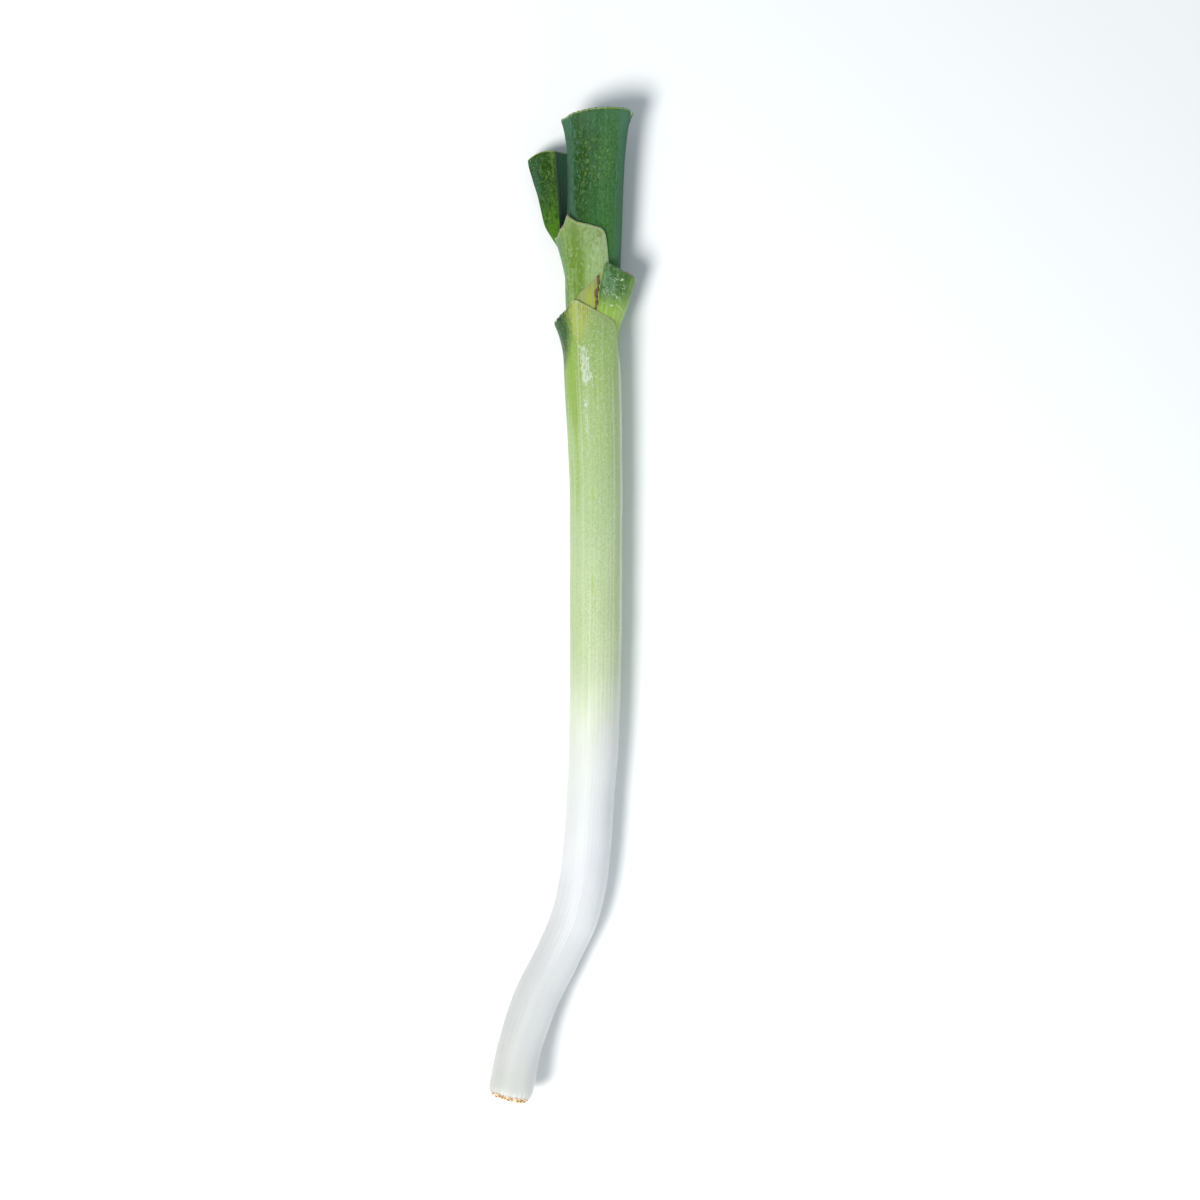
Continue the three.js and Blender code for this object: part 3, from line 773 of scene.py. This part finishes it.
def dried_fold():
    draw = np.random.default_rng(12)
    round_angles = np.arange(12) / 12 * 2 * math.pi
    points, straight = [], []
    for share in np.linspace(0, 1, 46):
        up = FOLD_FROM + FOLD_LENGTH * share
        knots = sum(thicker * bump(share - place, width) for place, width, thicker in KNOTS)
        width = 0.28 + 0.3 * np.sin(math.pi * share) + knots
        crumple = 1 + 0.28 * np.sin(share * 41) + draw.uniform(-0.25, 0.25)
        beside_crease = 3.2 + 4.0 * max(0, share - 0.7) + 1.3 * np.sin(share * 14)
        turned = crease_at(np.array(up))[0] + beside_crease
        middle = on_stalk(np.radians(turned), up, SECOND_OUT - 0.25 - 0.75 * share)
        reach = width * crumple * (1 + 0.35 * np.sin(3 * round_angles + share * 20))
        ring = [reach * np.cos(round_angles), 0.3 * np.sin(share * 33 + round_angles),
                0.62 * reach * np.sin(round_angles) + 0.2]
        points.append(middle + np.stack(ring, -1))
        straight.append(points[-1] - [PLATE_MIDDLE[0], PLATE_MIDDLE[1], 0])
    return skin("dried_fold", np.array(points), np.array(straight), np.zeros(3))


dried = Finish("dried_skin", Roughness=0.8)
grain = dried.straight.noise(1.6, 0.7, detail=4.0, warp=0.6)
dried.skin = grain.between(0.35, 0.65).blend(colour(80, 54, 42), colour(122, 94, 66))
dried.tint((54, 36, 28), grain.between(0.58, 0.7) * 0.8)
dried.set(Base_Color=dried.skin)
dried.relief(grain, 0.3)
dress(dried_fold(), dried, "second_skin")


# ---- The outermost leaf --------------------------------------------------------------------------
# A long smooth sheath, blanched white where it was earthed up and green in the light. On its left the
# blade is cut back to a flared stub with a ragged dark edge. Handling has rubbed pale scuffs through its
# skin near the mouth.

# Upper edge: [degrees round from the side its blade leaves on, distance up].
OUTER_EDGE = [
    [0, 322.6], [15, 323.6], [30, 325.6], [42, 328], [50, 330.4], [55, 331.6], [60, 331.4], [70, 330.2],
    [85, 328.4], [100, 326.7], [113, 325.1], [124, 324.2], [134, 322.6], [142, 319.6], [150, 314.5],
    [162, 309.5], [172, 307.5], [180, 307],
]
OUTER_BOTTOM = 0.0


def outer_sheath():
    angles = turn(224)
    ragged = np.random.default_rng(17).uniform(-1.5, 0.2, len(angles))
    ragged = (np.roll(ragged, 1) + 2 * ragged + np.roll(ragged, -1)) / 4
    facing = np.clip(np.cos(angles - math.pi), 0, 1)
    edge = edge_of(OUTER_EDGE, 180)(angles) + ragged * np.clip(facing * 1.6 - 0.5, 0, 1)

    def relief(angle, up):
        grown = np.clip((up - 4) / 10, 0, 1)
        return (0.04 * ribs(angle, up, 40) + 0.09 * wobble(angle, up, 3) - 0.05) * grown

    rows = wall(angles, edge, relief, bottom=OUTER_BOTTOM, bare_from=0, mouth=296, outside=OUTER_OUT,
                inside=2.65, lip_outside=2.85 + 0.75 * facing ** 1.5, lip_inside=2.45 - 0.1 * facing)
    flare = flare_of(180, starts=307, ends=322, reach=2.9, bend=1.8, sharpness=4)
    return sheath("outer_sheath_skin", angles, edge, rows, flare)


outer = Finish("outer_sheath_skin", Specular_IOR_Level=0.3, **WAXY)
fine_veins = outer.straight.noise(2.2, 0.008, detail=2.0)
lines = outer.straight.noise(0.9, 0.006, detail=4.0)
streaks = outer.straight.noise(1.2, 0.03, detail=4.0)
broad = outer.straight.noise(0.12, 0.012, detail=2.0)
speckle = outer.straight.noise(1.5, 0.8, detail=3.0)
smear = outer.straight.noise(0.3, 0.06, detail=3.0, warp=0.4)
grain = outer.straight.noise(2.6, 1.1, detail=3.0, warp=0.4)
# The skin's colour from its blanched root end to its mouth: [distance up, (red, green, blue)].
GREENS = [
    (0, (204, 205, 198)), (20, (206, 207, 203)), (60, (214, 216, 214)), (95, (231, 232, 231)),
    (125, (229, 233, 226)), (148, (229, 234, 218)), (163, (220, 230, 200)), (180, (202, 216, 175)),
    (204, (190, 208, 158)), (225, (189, 207, 159)), (255, (177, 199, 146)), (290, (167, 190, 128)),
    (306, (153, 180, 106)), (330, (147, 176, 98)),
]
GREENS_END = 330.0
stops = [(up / GREENS_END, colour(*shade)) for up, shade in GREENS]
uneven_up = outer.up + (lines - 0.5) * 50.0 + (smear - 0.5) * 26.0
outer.skin = outer.up.node("ValToRGB", {"stops": stops}, {0: uneven_up / GREENS_END})
green = outer.up.between(140.0, 200.0)
vivid = outer.patch(133.0, 308.0, 29.0, 38.0) * (lines * 0.6 + streaks * 0.4).between(0.3, 0.5)
outer.tint((134, 166, 6), vivid * 0.95)
outer.tint((156, 188, 78), outer.patch(146.0, 280.0, 40.0, 46.0) * lines.between(0.38, 0.6) * 0.6)
fan = outer.patch(116.0, 326.0, 26.0, 13.0)
outer.tint((186, 190, 66), fan * streaks.between(0.3, 0.52) * 0.75)
outer.tint((158, 190, 104), outer.patch(44.0, 316.0, 22.0, 18.0) * 0.5)
outer.tint((172, 194, 132), green * broad.between(0.45, 0.65) * 0.3)
outer.tint((118, 154, 92), outer.patch(182.0, 304.0, 34.0, 34.0) * 0.75)
outer.tint((214, 228, 192), green * (1 - vivid * 0.7) * grain.between(0.5, 0.64) * 0.36)
outer.tint((142, 176, 94), green * grain.between(0.5, 0.38) * 0.32)
stub = outer.patch(180.0, 323.0, 56.0, 24.0)
outer.tint((62, 104, 40), stub * 0.95)
outer.tint((34, 70, 34), stub * (streaks * 0.5 + speckle * 0.5).between(0.44, 0.56) * 0.85)
outer.tint((144, 172, 92), green * (1 - stub) * fine_veins.between(0.5, 0.7) * 0.22)
outer.tint((222, 230, 200), green * (1 - stub) * lines.between(0.44, 0.34) * 0.2)
outer.tint((190, 208, 112), outer.patch(79.0, 290.0, 1.6, 34.0) * 0.5)
# One wide scrape slants across the skin below the mouth, with a row of small scuffs under it.
torn = outer.straight.noise(0.5, 0.3, detail=4.0) - 0.5
scrape = (outer.angle - 104.0 - (outer.up - 304.0) * 0.6 + torn * 22.0) / 9.5
scrape_ends = (outer.up - 304.0 + torn * 10.0) / 8.2
scrape = ((scrape * scrape).between(1.15, 0.5) * (scrape_ends * scrape_ends).between(1.15, 0.6)
          * (streaks * 0.45 + speckle * 0.55).between(0.4, 0.53))
row_of_scuffs = outer.patch(106.0, 274.0, 4.5, 20.0) * (speckle * 0.5 + smear * 0.5).between(0.5, 0.6)
scuffs = (scrape + outer.patch(106.0, 289.0, 6.0, 2.2) * speckle.between(0.4, 0.55)
          + row_of_scuffs * 0.7
          + outer.threads(0.5, 0.018) * outer.patch(110.0, 314.0, 60.0, 26.0) * 0.6
          + speckle.between(0.73, 0.78) * green * 0.5)
outer.tint((216, 228, 208), scuffs * 0.72)
fan_streaks = fan * (fine_veins * 0.6 + streaks * 0.4).between(0.5, 0.58) * outer.below.between(9.0, 1.0)
outer.tint((136, 104, 44), fan_streaks * 0.65)
bruises = outer.patch(98.0, 251.5, 3.6, 3.5) + outer.patch(97.0, 213.0, 3.2, 6.0)
outer.tint((172, 198, 104), bruises * streaks.between(0.35, 0.5) * 0.7)
# Painted light and shade on the right-hand side of the green part: a pale painted reflection of the bright
# table along its edge, and a band of painted shade just inside it.
painted_rim_reflection = outer.angle.between(26.0, 19.0) * outer.angle.between(-20.0, 0.0)
painted_shade_band = outer.angle.between(44.0, 36.0) * outer.angle.between(22.0, 29.0)
outer.tint((150, 178, 118), painted_shade_band * green * 0.3)
outer.tint((216, 226, 198), painted_rim_reflection * green * 0.5)
lip = outer.below.between(0.8, 0.25)
outer.tint((206, 206, 156), lip * 0.6)
cut_edge = outer.below.between(1.7, 0.6) * outer.patch(180.0, 326.0, 64.0, 14.0)
outer.tint((28, 38, 26), cut_edge * speckle.between(0.36, 0.46) * 0.95)
outer.tint((196, 206, 176), cut_edge * speckle.between(0.62, 0.68) * 0.8)
rib_ends = outer.straight.noise(0.8, 0.05, detail=2.0).between(0.5, 0.62)
outer.tint((244, 244, 240), rib_ends * outer.up.between(4.0, 0.8) * 0.55)
outer.tint((164, 116, 58), outer.up.between(1.1, 0.3) * speckle.between(0.4, 0.52) * 0.85)
outer.paint()
outer.set(Roughness=0.36 + streaks * 0.14 + speckle * 0.06)
outer.relief(fine_veins * 0.25 + streaks * 0.45 + lines * 0.5 + scuffs * 0.4 + grain * 0.25, 0.12)
dress(outer_sheath(), outer, "outer_skin", "outer_sheath")


# ---- The cut roots -------------------------------------------------------------------------------
# The roots were trimmed off with the plate's underside. Their ends are left as small dry nubs round
# its rim.

ROOT_COUNT = 34


def cut_roots():
    draw = np.random.default_rng(7)
    nubs = bmesh.new()
    for number in range(ROOT_COUNT):
        turned = number / ROOT_COUNT * 2 * math.pi + draw.uniform(-0.09, 0.09)
        inwards = draw.uniform(0.3, 2.4)
        middle = on_stalk(turned, PLATE_UNDER + 0.25, PLATE_OUT - inwards) * MM
        width = draw.uniform(0.35, 0.6) * MM
        length = draw.uniform(0.3, 0.6) * MM
        for vertex in bmesh.ops.create_icosphere(nubs, subdivisions=2, radius=1.0)["verts"]:
            rough = 1 + draw.uniform(-0.12, 0.12)
            vertex.co = Vector(middle) + vertex.co * Vector((width, length, width)) * rough
    mesh = bpy.data.meshes.new("cut_roots")
    nubs.to_mesh(mesh)
    nubs.free()
    mesh.shade_smooth()
    straight = mesh.attributes.new("straight", "FLOAT_VECTOR", "POINT")
    places = np.array([vertex.co for vertex in mesh.vertices]) / MM
    straight.data.foreach_set("vector", places.astype(np.float32).ravel())
    piece = bpy.data.objects.new("cut_roots", mesh)
    bpy.context.scene.collection.objects.link(piece)
    return piece


roots = Finish("dry_roots", Roughness=0.8)
grain = roots.straight.noise(0.5, 0.5, detail=3.0)
roots.set(Base_Color=grain.between(0.4, 0.6).blend(colour(206, 178, 104), colour(150, 100, 44)))
roots.relief(grain, 0.2)
dress(cut_roots(), roots, "root_tissue")


# ---- The table, the light and the camera ---------------------------------------------------------
# A plain white table under a soft lamp from the lower left, in a bright white room. The camera looks
# straight down.

TABLE_HALF = 1.5
table_mesh = bpy.data.meshes.new("table")
table_corners = [(x * TABLE_HALF, y * TABLE_HALF, 0) for x, y in ((-1, -1), (1, -1), (1, 1), (-1, 1))]
table_mesh.from_pydata(table_corners, [], [(0, 1, 2, 3)])
table = bpy.data.objects.new("table", table_mesh)
bpy.context.scene.collection.objects.link(table)
white = bpy.data.materials.new("white_table")
white.use_nodes = True
white_shader = white.node_tree.nodes["Principled BSDF"].inputs
white_shader["Base Color"].default_value = (0.86, 0.86, 0.86, 1)
white_shader["Roughness"].default_value = 0.9
white_shader["Specular IOR Level"].default_value = 0.1
table_mesh.materials.append(white)

WARM_WHITE = (1.0, 0.985, 0.96)


def lamp(name, place, aim, size, power):
    """A round soft lamp at a place, in metres, turned to light another."""
    data = bpy.data.lights.new(name, "AREA")
    data.shape = "DISK"
    data.size = size
    data.energy = power
    data.color = WARM_WHITE
    made = bpy.data.objects.new(name, data)
    made.location = place
    made.rotation_euler = (Vector(place) - Vector(aim)).to_track_quat("Z", "Y").to_euler()
    bpy.context.scene.collection.objects.link(made)


lamp("lamp", (-0.70, -0.50, 1.25), (0, 0, 0), size=0.66, power=27)
lamp("fill", (0.22, -0.40, 0.26), (0, -0.2, 0), size=0.3, power=0.38)

world = bpy.data.worlds.new("white_room")
world.use_nodes = True
sky = world.node_tree.nodes["Background"].inputs
sky["Color"].default_value = (0.78, 0.90, 1.0, 1)
sky["Strength"].default_value = 0.47
bpy.context.scene.world = world
bpy.context.scene.view_settings.view_transform = "Standard"

CAMERA_HEIGHT = 1.061
CAMERA_ASIDE = 0.0377  # right of the root plate's middle
CAMERA_ALONG = 0.2067  # up the stalk from it
STALK_MIDDLE_HEIGHT = 0.011
VIEW_WIDTH = 0.504  # what the view takes in, at the height of the stalk's middle
SENSOR_WIDTH = 36
camera_data = bpy.data.cameras.new("camera")
camera_data.sensor_width = SENSOR_WIDTH
camera_data.lens = SENSOR_WIDTH * (CAMERA_HEIGHT - STALK_MIDDLE_HEIGHT) / VIEW_WIDTH
camera = bpy.data.objects.new("camera", camera_data)
camera.location = (
    PLATE_MIDDLE[0] * MM + CAMERA_ASIDE, PLATE_MIDDLE[1] * MM + CAMERA_ALONG, CAMERA_HEIGHT)
bpy.context.scene.collection.objects.link(camera)
bpy.context.scene.camera = camera
